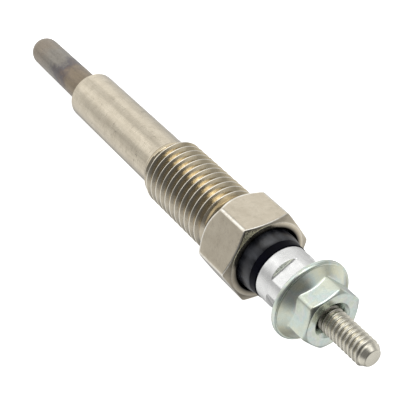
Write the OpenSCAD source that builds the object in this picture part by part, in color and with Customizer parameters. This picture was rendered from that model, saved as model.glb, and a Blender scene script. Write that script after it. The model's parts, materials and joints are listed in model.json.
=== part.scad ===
// Diesel glow plug with a metal sheath, lying on a flat of its hexagon.
// Lengths along the plug are stations in millimetres, counted from the end rim of the shank,
// negative towards the glowing tip and positive towards the terminal.

/* [Glow tube] */
// Length of tube that stands out of the body
tube_reach = 18.9; // [12:0.1:30]
// Diameter where the tube leaves the body
tube_d = 4.9; // [4.7:0.05:5.4]
// Diameter where the domed tip begins
tube_tip_d = 4.7; // [4.2:0.05:4.9]
// Wall thickness
tube_wall = 0.45; // [0.4:0.05:0.7]
// Length pressed into the body
tube_grip = 20; // [12:0.5:24]
// Length of the rubber plug in the tube's mouth
tube_seal_len = 3; // [1.5:0.1:5]

/* [Coils] */
// Wire diameter of both coils
wire_d = 0.4; // [0.3:0.02:0.45]
// Mean diameter of both coils
coil_d = 2.3; // [2:0.05:2.4]
// Rise of the heating coil for each turn
heating_pitch = 0.75; // [0.6:0.05:0.9]
// Turns of the heating coil
heating_turns = 8; // [5:1:8]
// Rise of the regulating coil for each turn
regulating_pitch = 0.9; // [0.7:0.05:1]
// Turns of the regulating coil
regulating_turns = 9; // [5:1:10]
// Length of wire that leads from the regulating coil to the centre rod
coil_lead = 0.9; // [0.6:0.1:1.5]
// Radius of the elbow at each lead
elbow_r = 0.4; // [0.3:0.05:0.5]
// Room in the powder round the wire
coil_clearance = 0.06; // [0.03:0.01:0.08]

/* [Body] */
// Diameter of the plain shank
shank_d = 7.75; // [7.2:0.05:8.2]
// Length of the plain shank
shank_len = 22.8; // [12:0.1:26]
// Edge break at the rim of the shank
shank_edge = 0.1; // [0.05:0.05:0.3]
// Length of the seat cone ahead of the rim
seat_len = 0.6; // [0.3:0.05:0.9]
// Diameter of the flat nose of the seat cone
seat_nose_d = 5.6; // [5.5:0.05:6.4]
// Diameter over the crests of the thread
thread_d = 9.9; // [9.7:0.01:10]
// Pitch of the thread
thread_pitch = 1.25; // [1:0.05:1.5]
// Depth of the thread's grooves
thread_depth = 0.65; // [0.4:0.05:0.7]
// Length of the thread from the shank to the hexagon
thread_len = 17; // [10:0.1:24]
// Length of the lead cone at the start of the thread
thread_lead = 1.8; // [0.8:0.1:2.5]
// Width of the undercut between the thread and the hexagon
undercut_w = 1.1; // [0.6:0.1:1.5]
// Diameter at the bottom of the undercut
undercut_d = 8.7; // [8.4:0.1:9.2]
// Diameter of the bore round the centre rod
rod_room_d = 5.6; // [5.5:0.1:6]

/* [Hexagon] */
// Width across the flats
hex_af = 11.8; // [11.6:0.1:13]
// Depth turned off the corners
hex_corner_cut = 0.08; // [0.04:0.02:0.3]
// Length of the hexagon with its end cones
hex_len = 7.95; // [6:0.05:10]
// Length of the cone on the thread side
hex_shoulder_len = 1.95; // [1:0.05:2.5]
// Diameter at the foot of that cone
hex_shoulder_d = 10; // [9.9:0.05:10.4]
// Drop of the shallow cone on the terminal side
hex_face_drop = 0.55; // [0.2:0.05:0.8]
// Diameter of the recess in the terminal side
recess_d = 9.7; // [9.4:0.05:10]
// Depth of that recess
recess_depth = 3.5; // [2.5:0.1:4]

/* [Seal and bush] */
// Height of the rubber bead above the hexagon
bead_rise = 1.85; // [1.2:0.05:2.4]
// Diameter of the rubber in the recess
bead_d = 8.9; // [8.5:0.05:9.3]
// Diameter of the bead under the bush
bead_top_d = 8.2; // [7.8:0.05:8.5]
// Thickness of the flange of the bush
bush_flange_t = 1.2; // [0.8:0.05:1.6]
// Diameter of the flange of the bush
bush_flange_d = 8.3; // [8:0.05:9]
// Diameter of the stem of the bush
bush_stem_d = 5.2; // [4.8:0.1:5.4]

/* [Crimped collar] */
// Diameter of the round part
collar_d = 8.1; // [7.8:0.02:8.4]
// Length of the collar
collar_len = 5.7; // [4.5:0.05:6.5]
// Length of the round part
collar_round_len = 2.2; // [1.5:0.05:3]
// Edge break at both ends
collar_edge = 0.12; // [0.05:0.01:0.2]
// Depth to which each flat is pressed in
crimp_depth = 0.56; // [0.3:0.02:0.8]
// Turn of the crimped flats about the axis, in degrees
collar_turn = 71; // [0:1:90]

/* [Terminal nut] */
// Height of the nut
nut_h = 4.8; // [4:0.05:6]
// Width across the flats
nut_af = 7.9; // [7.4:0.05:8.2]
// Depth turned off the corners
nut_corner_cut = 0.06; // [0.03:0.01:0.2]
// Height of the chamfer at the end face
nut_chamfer = 0.35; // [0.2:0.05:0.5]
// Diameter of the flange
nut_flange_d = 11.6; // [10.8:0.05:12]
// Radius of the rounded rim of the flange
nut_rim_r = 0.4; // [0.3:0.05:0.5]
// Height at which the flange meets the hexagon
nut_flange_h = 1.6; // [1.3:0.05:2]
// Diameter of the countersink in the end face
nut_sink_d = 5.2; // [4.6:0.05:5.4]
// Turn of the hexagon about the axis, in degrees
nut_turn = 45; // [0:1:60]

/* [Centre rod] */
// Diameter of the rod inside the plug
rod_d = 3; // [2.6:0.05:3.1]
// Diameter of the neck that the collar and the nut's thread grip
neck_d = 3.24; // [3.14:0.02:3.3]
// Diameter over the crests of the terminal thread
stud_d = 3.6; // [3.4:0.05:4]
// Pitch of the terminal thread
stud_pitch = 0.7; // [0.6:0.05:0.8]
// Depth of the terminal thread's grooves
stud_depth = 0.38; // [0.25:0.01:0.4]
// Length of stud beyond the nut
stud_reach = 7.6; // [5:0.1:12]
// Length of the chamfer at the stud's end
stud_chamfer = 1; // [0.6:0.05:1.3]
// Diameter of the stud's flat end
stud_end_d = 2.4; // [2:0.05:2.8]

/* [Hidden] */
$fn = 96;
WIRE_SIDES = 6;
COIL_STEPS = 16;
ELBOW_STEPS = 4;
ARC_STEP = 7.5;
HEX_SIDES = 6;
CRIMP_SIDES = 4;
NUT_CHAMFER_ANGLE = 30;
FLANK_ANGLE = 30;
SINK_ANGLE = 45;

// Stations along the axis
tip_at = -tube_reach;
dome_at = tip_at + tube_tip_d / 2;
tube_mouth_at = tube_grip;
thread_at = shank_len;
crest_at = thread_at + thread_lead;
hex_at = thread_at + thread_len;
undercut_at = hex_at - undercut_w;
hex_end_at = hex_at + hex_len;
recess_at = hex_end_at - recess_depth;
bush_at = hex_end_at + bead_rise;
collar_at = bush_at + bush_flange_t;
nut_at = collar_at + collar_len;
nut_end_at = nut_at + nut_h;
stud_end_at = nut_end_at + stud_reach;

// Stations inside the tube
dome_in_r = tube_tip_d / 2 - tube_wall;
wire_edge_r = coil_d / 2 + wire_d / 2;
wire_tip_at = dome_at - sqrt(dome_in_r * dome_in_r - wire_edge_r * wire_edge_r);
heating_at = dome_at;
heating_end_at = heating_at + heating_turns * heating_pitch;
regulating_end_at = heating_end_at + regulating_turns * regulating_pitch;
rod_at = regulating_end_at + coil_lead;
heating_rise = atan(heating_pitch / (PI * coil_d));
regulating_rise = atan(regulating_pitch / (PI * coil_d));
weld_rise = (heating_rise + regulating_rise) / 2;

// Hexagon corners and the nut's chamfer
hex_corner_r = hex_af / 2 / cos(180 / HEX_SIDES) - hex_corner_cut;
nut_corner_r = nut_af / 2 / cos(180 / HEX_SIDES) - nut_corner_cut;
nut_face_r = nut_corner_r - nut_chamfer / tan(NUT_CHAMFER_ANGLE);

// The cone of the nut's flange runs on inwards under the flats
rim_top_r = nut_flange_d / 2 - nut_rim_r;
rim_top_at = nut_at + 2 * nut_rim_r;
cone_slope = (nut_flange_h - 2 * nut_rim_r) / (rim_top_r - nut_corner_r);
cone_foot_r = nut_sink_d / 2;
cone_foot_at = rim_top_at + cone_slope * (rim_top_r - cone_foot_r);

// The flat that the plug lies on begins where the shoulder cone cuts its middle
flat_at = hex_at + hex_shoulder_len * (hex_af - hex_shoulder_d) / (2 * hex_corner_r - hex_shoulder_d);
rim_at = shank_edge;
// Slope of the axis when the plug lies on that flat and on the foremost round that reaches the floor
rest_slopes = [
    (hex_af - shank_d) / 2 / (flat_at - rim_at),
    (hex_af - thread_d) / 2 / (flat_at - crest_at),
    (hex_af - tube_tip_d) / 2 / (flat_at - dome_at)
];
rest_tilt = atan(min(rest_slopes));
// Height of the axis over the floor at station 0, and the middle of the plug's length on the floor
axis_lift = hex_af / 2 * cos(rest_tilt) - flat_at * sin(rest_tilt);
front_x = dome_at * cos(rest_tilt) - tube_tip_d / 2;
back_x = stud_end_at * cos(rest_tilt) + stud_end_d / 2 * sin(rest_tilt);
middle_x = (front_x + back_x) / 2;

// Lays a piece that stands on its axis down into the resting place
module lay() {
    translate([-middle_x, 0, axis_lift])
        rotate([0, 90 - rest_tilt, 0])
            children();
}

// A turned piece from an outline of radius and station
module turned(outline) {
    rotate_extrude() polygon(outline);
}

// A bar with flats between two stations
module flat_bar(sides, across_flats, from_at, to_at, turn) {
    translate([0, 0, from_at])
        rotate([0, 0, turn])
            cylinder(d = across_flats / cos(180 / sides), h = to_at - from_at, $fn = sides);
}

// A round bar between two stations
module round_bar(d, from_at, to_at) {
    translate([0, 0, from_at]) cylinder(d = d, h = to_at - from_at);
}

// Run along the axis of one flank of a thread
function flank_run(depth) = depth * tan(FLANK_ANGLE);

// Outline of a thread between two stations, its ridges drawn as rings with crests an eighth of the pitch wide
function ridges(r, depth, pitch, from_at, to_at) = let (
    crest_w = pitch / 8,
    grooves = floor((to_at - from_at - crest_w) / pitch)
) [
    [r, from_at],
    for (i = [0 : grooves - 1]) each [
        [r, from_at + i * pitch + crest_w],
        [r - depth, from_at + i * pitch + crest_w + flank_run(depth)],
        [r - depth, from_at + (i + 1) * pitch - flank_run(depth)],
        [r, from_at + (i + 1) * pitch]
    ],
    [r, to_at]
];

// Outline of the domed tip from its apex to its full radius
function dome(r) = [for (a = [90 : -ARC_STEP : 0]) [r * cos(a), dome_at - r * sin(a)]];

// Inside of the tube up to a station, as one solid
module tube_inside(to_at) {
    bore_r = tube_d / 2 - tube_wall;
    turned(concat(dome(dome_in_r), [[bore_r, 0], [bore_r, to_at], [0, to_at]]));
}

// Point on the wire's middle line, by turns made and station
function wire_point(turns, at) = [coil_d / 2 * cos(360 * turns), coil_d / 2 * sin(360 * turns), at];

// Ring of the wire's section across the middle line at a point, square to the way it runs
function wire_ring(turns, at, rise_angle) = [
    for (side = [0 : WIRE_SIDES - 1])
        let (
            out = wire_d / 2 * cos(360 * side / WIRE_SIDES),
            up = wire_d / 2 * sin(360 * side / WIRE_SIDES),
            p = wire_point(turns, at),
            away = [cos(360 * turns), sin(360 * turns), 0],
            along = [sin(360 * turns), -cos(360 * turns), 0],
            across = sin(rise_angle) * along + [0, 0, cos(rise_angle)]
        )
        p + out * away + up * across
];

// Closed tube through a list of rings
module wire(rings) {
    last = len(rings) - 1;
    sides = [
        for (r = [0 : last - 1], s = [0 : WIRE_SIDES - 1])
            let (a = r * WIRE_SIDES, n = (s + 1) % WIRE_SIDES)
            each [[a + s, a + n, a + WIRE_SIDES + s], [a + n, a + WIRE_SIDES + n, a + WIRE_SIDES + s]]
    ];
    start_cap = [for (s = [1 : WIRE_SIDES - 2]) [0, s + 1, s]];
    end = last * WIRE_SIDES;
    end_cap = [for (s = [1 : WIRE_SIDES - 2]) [end, end + s, end + s + 1]];
    polyhedron(points = [for (ring = rings) each ring], faces = concat(sides, start_cap, end_cap));
}

// Rings of a coil of some turns, with the rise of its first and last ring given
function coil_rings(turns, from_at, pitch, rise, first_rise, last_rise) = [
    for (i = [0 : turns * COIL_STEPS])
        let (t = i / COIL_STEPS)
        wire_ring(t, from_at + t * pitch, i == 0 ? first_rise : t == turns ? last_rise : rise)
];

// Turn by which an elbow runs round the axis between a rise and the straight lead
function elbow_turn(rise, slant) = elbow_r * (sin(slant) - sin(rise)) / (PI * coil_d);

// Rings of an elbow between a coil and its straight lead: side is -1 before the coil and 1 after it
function elbow_rings(turn, at, rise, side) = [
    for (i = [1 : ELBOW_STEPS])
        let (
            slant = rise + (90 - rise) * i / ELBOW_STEPS,
            advance = elbow_r * (cos(rise) - cos(slant))
        )
        wire_ring(turn + side * elbow_turn(rise, slant), at + side * advance, slant)
];

// A list in the opposite order
function reversed(list) = [for (i = [len(list) - 1 : -1 : 0]) list[i]];

// Metal sheath with a closed domed tip
module glow_tube() {
    color("#8f867c") lay() difference() {
        turned(concat(
            dome(tube_tip_d / 2),
            [[tube_d / 2, 0], [tube_d / 2, tube_mouth_at], [0, tube_mouth_at]]
        ));
        tube_inside(tube_mouth_at);
    }
}

// Coil behind the tip, with a straight lead onto the dome
module heating_coil() {
    lead = wire_ring(-elbow_turn(heating_rise, 90), wire_tip_at, 90);
    elbow = reversed(elbow_rings(0, heating_at, heating_rise, -1));
    coil = coil_rings(heating_turns, heating_at, heating_pitch, heating_rise, heating_rise, weld_rise);
    color("#b9b4aa") lay() wire(concat([lead], elbow, coil));
}

// Coil between the heating coil and the centre rod
module regulating_coil() {
    coil = coil_rings(
        regulating_turns, heating_end_at, regulating_pitch, regulating_rise, weld_rise, regulating_rise
    );
    elbow = elbow_rings(regulating_turns, regulating_end_at, regulating_rise, 1);
    lead = wire_ring(regulating_turns + elbow_turn(regulating_rise, 90), rod_at, 90);
    color("#a08a6a") lay() wire(concat(coil, elbow, [lead]));
}

// Pressed powder round the coils and the end of the rod
module magnesia_fill() {
    room = wire_d + 2 * coil_clearance;
    groove_at = heating_at - elbow_r - room / 2;
    color("#e9e6de") lay() difference() {
        tube_inside(tube_mouth_at - tube_seal_len);
        difference() {
            round_bar(coil_d + room, groove_at, rod_at);
            round_bar(coil_d - room, groove_at - room, rod_at + room);
        }
        round_bar(rod_d, rod_at, tube_mouth_at);
        rotate([0, 0, -360 * elbow_turn(heating_rise, 90)])
            translate([coil_d / 2, 0, 0])
                round_bar(wire_d + coil_clearance, tip_at, heating_at);
    }
}

// Rubber plug between the rod and the mouth of the tube
module tube_seal() {
    color("#2b2b2b") lay() difference() {
        round_bar(tube_d - 2 * tube_wall, tube_mouth_at - tube_seal_len, tube_mouth_at);
        round_bar(rod_d, tube_mouth_at - 2 * tube_seal_len, tube_mouth_at + tube_seal_len);
    }
}

// Rod from the coils to the terminal, its outer end the threaded stud
module centre_rod() {
    color("#b3a995") lay() turned([
        [0, rod_at],
        [rod_d / 2, rod_at],
        [rod_d / 2, collar_at],
        [neck_d / 2, collar_at],
        [neck_d / 2, nut_end_at],
        each ridges(stud_d / 2, stud_depth, stud_pitch, nut_end_at, stud_end_at - stud_chamfer),
        [stud_end_d / 2, stud_end_at],
        [0, stud_end_at]
    ]);
}

// Outside of the body before its flats are cut
module body_turning() {
    root_r = thread_d / 2 - thread_depth;
    root_at = thread_at + thread_lead * (2 * root_r - shank_d) / (thread_d - shank_d);
    turned([
        [0, -seat_len],
        [seat_nose_d / 2, -seat_len],
        [shank_d / 2 - shank_edge, 0],
        [shank_d / 2, shank_edge],
        [shank_d / 2, thread_at],
        [root_r, root_at],
        [root_r, crest_at - flank_run(thread_depth)],
        each ridges(thread_d / 2, thread_depth, thread_pitch, crest_at, undercut_at),
        [undercut_d / 2, undercut_at + (thread_d - undercut_d) / 2],
        [undercut_d / 2, hex_at],
        [hex_shoulder_d / 2, hex_at],
        [hex_corner_r, hex_at + hex_shoulder_len],
        [hex_corner_r, hex_end_at - hex_face_drop],
        [recess_d / 2, hex_end_at],
        [0, hex_end_at]
    ]);
}

// Shell with the seat, the shank, the thread and the hexagon, bored through
module body() {
    flat_turn = 180 / HEX_SIDES;
    color("#b9b0a2") lay() difference() {
        intersection() {
            body_turning();
            union() {
                round_bar(2 * hex_corner_r, -seat_len, hex_at);
                flat_bar(HEX_SIDES, hex_af, hex_at, hex_end_at, flat_turn);
            }
        }
        round_bar(tube_d, tip_at, tube_mouth_at);
        round_bar(rod_room_d, tube_mouth_at, hex_end_at);
        round_bar(recess_d, recess_at, hex_end_at + recess_depth);
    }
}

// Rubber ring that fills the recess and bulges out of it
module rubber_seal() {
    color("#191a1c") lay() difference() {
        turned([
            [0, recess_at],
            [bead_d / 2, recess_at],
            for (a = [0 : ARC_STEP : 90]) [
                bead_top_d / 2 + (bead_d - bead_top_d) / 2 * cos(a),
                hex_end_at + bead_rise * sin(a)
            ],
            [0, bush_at]
        ]);
        round_bar(bush_stem_d, recess_at - recess_depth, bush_at + recess_depth);
    }
}

// Insulating bush, its stem in the rubber and its flange under the collar
module insulating_bush() {
    color("#111214") lay() difference() {
        union() {
            round_bar(bush_stem_d, recess_at, bush_at);
            round_bar(bush_flange_d, bush_at, collar_at);
        }
        round_bar(rod_d, recess_at - recess_depth, collar_at + recess_depth);
    }
}

// Sleeve on the rod, round at its back and pressed to four flats towards the nut
module crimp_collar() {
    crimp_at = collar_at + collar_round_len;
    flats_af = collar_d - 2 * crimp_depth;
    color("#d9d9d6") lay() difference() {
        intersection() {
            turned([
                [0, collar_at],
                [collar_d / 2 - collar_edge, collar_at],
                [collar_d / 2, collar_at + collar_edge],
                [collar_d / 2, nut_at - collar_edge],
                [collar_d / 2 - collar_edge, nut_at],
                [0, nut_at]
            ]);
            union() {
                round_bar(collar_d, collar_at, crimp_at);
                flat_bar(CRIMP_SIDES, flats_af, crimp_at, nut_at, collar_turn);
            }
        }
        round_bar(neck_d, collar_at - collar_len, nut_at + collar_len);
    }
}

// Flange of the nut with its rounded rim, and the cone that the flats stand on
module nut_flange() {
    turned([
        [0, nut_at],
        [rim_top_r, nut_at],
        for (a = [-90 + ARC_STEP : ARC_STEP : 90 - ARC_STEP]) [
            rim_top_r + nut_rim_r * cos(a),
            nut_at + nut_rim_r * (1 + sin(a))
        ],
        [rim_top_r, rim_top_at],
        [cone_foot_r, cone_foot_at],
        [0, cone_foot_at]
    ]);
}

// Turned corners of the nut, chamfered at the end face
module nut_turning() {
    turned([
        [0, nut_at + nut_rim_r],
        [nut_corner_r, nut_at + nut_rim_r],
        [nut_corner_r, nut_end_at - nut_chamfer],
        [nut_face_r, nut_end_at],
        [0, nut_end_at]
    ]);
}

// Hexagon nut with a flange, screwed down on the collar
module terminal_nut() {
    sink_drop = (nut_sink_d - neck_d) / 2 * tan(SINK_ANGLE);
    color("#c3c6bd") lay() difference() {
        union() {
            nut_flange();
            intersection() {
                nut_turning();
                flat_bar(HEX_SIDES, nut_af, nut_at + nut_rim_r, nut_end_at, nut_turn);
            }
        }
        round_bar(neck_d, nut_at - nut_h, nut_end_at + nut_h);
        turned([
            [0, nut_end_at - sink_drop],
            [neck_d / 2, nut_end_at - sink_drop],
            [nut_sink_d / 2, nut_end_at],
            [nut_sink_d / 2, nut_end_at + nut_h],
            [0, nut_end_at + nut_h]
        ]);
    }
}

glow_tube();
heating_coil();
regulating_coil();
magnesia_fill();
tube_seal();
centre_rod();
body();
rubber_seal();
insulating_bush();
crimp_collar();
terminal_nut();
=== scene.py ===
"""Diesel glow plug at rest on a pale floor.

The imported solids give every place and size. The pieces that show are numpy surfaces in the place of
those solids, with the threads, the eased edges and the finishes that the solids leave plain.
Lengths are in millimetres until a surface becomes a mesh, which is in metres.
"""

from __future__ import annotations

import json
import logging
import math
from dataclasses import dataclass
from enum import Enum
from typing import Any, Callable, Iterable, NamedTuple, Union

import bpy
import numpy as np
from mathutils import Matrix, Vector

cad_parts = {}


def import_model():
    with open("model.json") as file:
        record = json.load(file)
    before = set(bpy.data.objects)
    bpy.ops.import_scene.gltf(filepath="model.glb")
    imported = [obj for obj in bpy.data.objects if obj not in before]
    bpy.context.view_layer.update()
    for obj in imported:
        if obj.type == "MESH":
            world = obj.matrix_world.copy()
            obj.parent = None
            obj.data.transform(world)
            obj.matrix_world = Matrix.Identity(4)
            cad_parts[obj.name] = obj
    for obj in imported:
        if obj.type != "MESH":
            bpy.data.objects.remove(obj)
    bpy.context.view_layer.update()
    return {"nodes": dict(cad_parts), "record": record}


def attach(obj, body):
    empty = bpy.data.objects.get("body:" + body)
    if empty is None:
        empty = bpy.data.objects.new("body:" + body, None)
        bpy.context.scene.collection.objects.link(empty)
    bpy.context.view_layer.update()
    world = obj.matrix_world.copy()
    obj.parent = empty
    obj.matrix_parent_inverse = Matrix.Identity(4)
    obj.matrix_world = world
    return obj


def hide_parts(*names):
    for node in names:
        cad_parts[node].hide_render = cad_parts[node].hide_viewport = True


LOG = logging.getLogger("glow_plug")
MM = 0.001
TURN = 2.0 * math.pi
HEX_SIDES = 6
FLANK_SLOPE = math.tan(math.radians(30.0))
LONGEST_EASE = 0.45
SAME_PLACE = 1e-6
HAIR = 0.01
NOISE_ROUGHNESS = 0.6
EVEN = (1.0, 1.0, 1.0)
WHITE = (1.0, 1.0, 1.0, 1.0)

Colour = tuple[float, float, float]
Range = tuple[float, float]
Socket = bpy.types.NodeSocket
Value = Union[Socket, float, tuple[float, ...]]
Axes = bpy.types.NodeOutputs
RadiusRule = Callable[[np.ndarray, np.ndarray, np.ndarray], np.ndarray]


class Slot(Enum):
    """Material slots of the record."""

    SHEATH = "tinted_sheath"
    WIRE = "coil_wire"
    POWDER = "magnesia"
    RUBBER = "black_rubber"
    STUD = "stud_steel"
    NICKEL = "nickel_plate"
    BUSH = "black_bush"
    ALUMINIUM = "collar_aluminium"
    ZINC = "zinc_plate"


@dataclass(frozen=True)
class PlugAxis:
    """The plug's own axis in the shared frame, with stations counted from the rim of the shank."""

    tilt: float
    start_x: float
    start_z: float

    @classmethod
    def from_mount(cls, mount: dict[str, Any], station: float) -> PlugAxis:
        """Reads the axis from a mount that points to the glowing tip.

        Args:
            mount: the record's entry of the mount.
            station: station of the mount's place, in millimetres.

        Returns:
            The axis through that place, its start moved back by the station.
        """
        along_x, along_z = -mount["axis"][0], -mount["axis"][2]
        x, z = mount["pos_m"][0] / MM, mount["pos_m"][2] / MM
        return cls(math.atan2(along_z, along_x), x - station * along_x, z - station * along_z)

    def place(self, radius: np.ndarray, station: np.ndarray, angle: np.ndarray) -> np.ndarray:
        """Puts points given round the axis into the shared frame.

        A point is the start, plus its station along the axis, plus its radius across it. The angle
        runs from straight up towards the +Y side.

        Args:
            radius: distances from the axis in millimetres.
            station: stations in millimetres.
            angle: angles in radians.

        Returns:
            Points in metres, with x, y and z in the last dimension.
        """
        radius, station, angle = np.broadcast_arrays(radius, station, angle)
        rise = radius * np.cos(angle)
        x = self.start_x + station * math.cos(self.tilt) - rise * math.sin(self.tilt)
        z = self.start_z + station * math.sin(self.tilt) + rise * math.cos(self.tilt)
        return MM * np.stack([x, radius * np.sin(angle), z], axis=-1)


class Corner(NamedTuple):
    """One corner of a turned outline."""

    radius: float
    station: float
    ease: float = 0.0
    step: float = 4.0


@dataclass(frozen=True)
class Outline:
    """Outline of a turned piece: out along the outside and back along the inside."""

    corners: tuple[Corner, ...]
    loop: bool = True
    ease_steps: int = 4

    def rows(self) -> np.ndarray:
        """Works out the rows of the grid along the outline.

        Each corner becomes a parabola that starts and ends an ease length away from it, and each
        straight run between two parabolas is cut into equal rows no longer than the run's step.

        Returns:
            Radius and station of every row, in millimetres.
        """
        points = np.array([(c.radius, c.station) for c in self.corners])
        back = np.roll(points, 1, axis=0) - points
        ahead = np.roll(points, -1, axis=0) - points
        back_len = np.linalg.norm(back, axis=1)[:, None]
        ahead_len = np.linalg.norm(ahead, axis=1)[:, None]
        ease = np.array([c.ease for c in self.corners])[:, None]
        ease = np.minimum(ease, LONGEST_EASE * np.minimum(back_len, ahead_len))
        if not self.loop:
            ease[[0, -1]] = 0.0
        enter = points + back / back_len * ease
        leave = points + ahead / ahead_len * ease
        t = np.linspace(0.0, 1.0, self.ease_steps + 1)[None, :, None]
        bend = (1 - t) ** 2 * enter[:, None] + 2 * t * (1 - t) * points[:, None] + t**2 * leave[:, None]
        bend = bend.reshape(-1, 2)
        steps = np.repeat([c.step for c in self.corners], self.ease_steps + 1)
        runs = np.roll(bend, -1, axis=0) - bend
        lengths = np.linalg.norm(runs, axis=1)
        cuts = np.ceil(lengths / steps).astype(int)
        cuts[lengths < SAME_PLACE] = 0
        if not self.loop:
            cuts[-1] = 1
        run = np.repeat(np.arange(len(bend)), cuts)
        first = np.cumsum(cuts) - cuts
        share = (np.arange(len(run)) - first[run]) / cuts[run]
        return bend[run] + share[:, None] * runs[run]


@dataclass
class Surface:
    """Vertices and faces of one closed piece."""

    points: np.ndarray
    quads: np.ndarray
    caps: list[list[int]]

    def with_part(self, other: Surface) -> Surface:
        """Returns this surface and another one as a single surface."""
        shift = len(self.points)
        return Surface(
            np.vstack([self.points, other.points]),
            np.vstack([self.quads, other.quads + shift]),
            self.caps + [[i + shift for i in cap] for cap in other.caps],
        )

    def make(self, name: str, sharp_deg: float = 50.0) -> bpy.types.Object:
        """Makes the mesh and its object.

        Args:
            name: name of the piece.
            sharp_deg: angle between faces from which an edge stays sharp.

        Returns:
            The object, at the origin, with its place in its mesh.
        """
        mesh = bpy.data.meshes.new(name)
        mesh.from_pydata(self.points.tolist(), [], self.quads.tolist() + self.caps)
        mesh.validate()
        mesh.shade_smooth()
        mesh.set_sharp_from_angle(angle=math.radians(sharp_deg))
        piece = bpy.data.objects.new(name, mesh)
        bpy.context.scene.collection.objects.link(piece)
        return piece


def net(rows: int, columns: int, loop: bool) -> np.ndarray:
    """Numbers the four-sided faces of a grid whose columns close on themselves.

    Face (i, j) joins rows i and i + 1 with columns j and j + 1, the last column to the first.

    Args:
        rows: number of rows.
        columns: number of columns.
        loop: whether the last row joins the first one too.

    Returns:
        Vertex numbers of the faces, four to a face.
    """
    i = np.arange(rows if loop else rows - 1)[:, None]
    j = np.arange(columns)[None, :]
    below, beside = (i + 1) % rows, (j + 1) % columns
    ring = [i * columns + j, below * columns + j, below * columns + beside, i * columns + beside]
    return np.stack(np.broadcast_arrays(*ring), axis=-1).reshape(-1, 4)


def end_caps(rows: int, columns: int) -> list[list[int]]:
    """Closes the first and the last row of a grid with one face each."""
    last = (rows - 1) * columns
    return [list(range(columns)), list(range(last + columns - 1, last - 1, -1))]


def revolve(
    axis: PlugAxis, outline: Outline, angles: np.ndarray, rule: RadiusRule | None = None
) -> Surface:
    """Carries an outline round the axis.

    A point of the grid has its row's station, its column's angle and its row's radius, which a rule
    may change by station and angle, as flats do.

    Args:
        axis: axis of the plug.
        outline: outline of the piece.
        angles: angles of the columns in radians.
        rule: gives the final radius from radius, station and angle.

    Returns:
        The closed surface.
    """
    rows = outline.rows()
    radius, station, angle = np.broadcast_arrays(rows[:, :1], rows[:, 1:], angles[None, :])
    if rule is not None:
        radius = rule(radius, station, angle)
    points = axis.place(radius, station, angle).reshape(-1, 3)
    caps = [] if outline.loop else end_caps(len(rows), len(angles))
    return Surface(points, net(len(rows), len(angles), outline.loop), caps)


def round_angles(columns: int) -> np.ndarray:
    """Returns even steps round the axis."""
    return np.arange(columns) * TURN / columns


def hex_angles(corner_deg: float, columns: int) -> np.ndarray:
    """Spaces columns round a hexagon, closer together towards its corners.

    Between two corners the angle follows a sine, so its steps shrink to nothing at both.

    Args:
        corner_deg: angle of one corner in degrees.
        columns: columns for each flat.

    Returns:
        Angles in radians.
    """
    swing = np.sin(np.linspace(-0.5, 0.5, columns, endpoint=False) * math.pi)
    flats = np.arange(HEX_SIDES) + 0.5
    return math.radians(corner_deg) + (flats[:, None] + 0.5 * swing[None, :]).ravel() * TURN / HEX_SIDES


def soft_min(a: np.ndarray, b: np.ndarray, blend: float) -> np.ndarray:
    """Smaller of two values, rounded where they meet: half of sum less root of squared difference."""
    return 0.5 * (a + b - np.sqrt((a - b) ** 2 + blend**2))


def soft_max(a: np.ndarray, b: np.ndarray, blend: float) -> np.ndarray:
    """Larger of two values, rounded where they meet."""
    return -soft_min(-a, -b, blend)


def flat_reach(
    apothem: np.ndarray | float,
    angle: np.ndarray,
    corner_deg: float,
    sides: int = HEX_SIDES,
    ease_r: float = 0.0,
) -> np.ndarray:
    """Distance from the axis to the flats of a bar with eased corners.

    On a flat it is the apothem over the cosine of the angle to the flat's middle. Near a corner it is
    the distance to a small circle that touches both flats, from the cosine rule.

    Args:
        apothem: distance from the axis to the middle of a flat.
        angle: angles in radians.
        corner_deg: angle of one corner in degrees.
        sides: number of flats.
        ease_r: radius of the eased corners.

    Returns:
        The distance for each angle.
    """
    half = 0.5 * TURN / sides
    off_middle = np.mod(angle - math.radians(corner_deg), 2.0 * half) - half
    flat = apothem / np.cos(off_middle)
    if ease_r == 0.0:
        return flat
    off_corner = half - np.abs(off_middle)
    centre = (apothem - ease_r) / math.cos(half)
    chord = np.sqrt(np.maximum(ease_r**2 - (centre * np.sin(off_corner)) ** 2, 0.0))
    touch = math.atan((apothem - ease_r) * math.tan(half) / apothem)
    return np.where(np.abs(off_middle) > touch, centre * np.cos(off_corner) + chord, flat)


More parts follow.
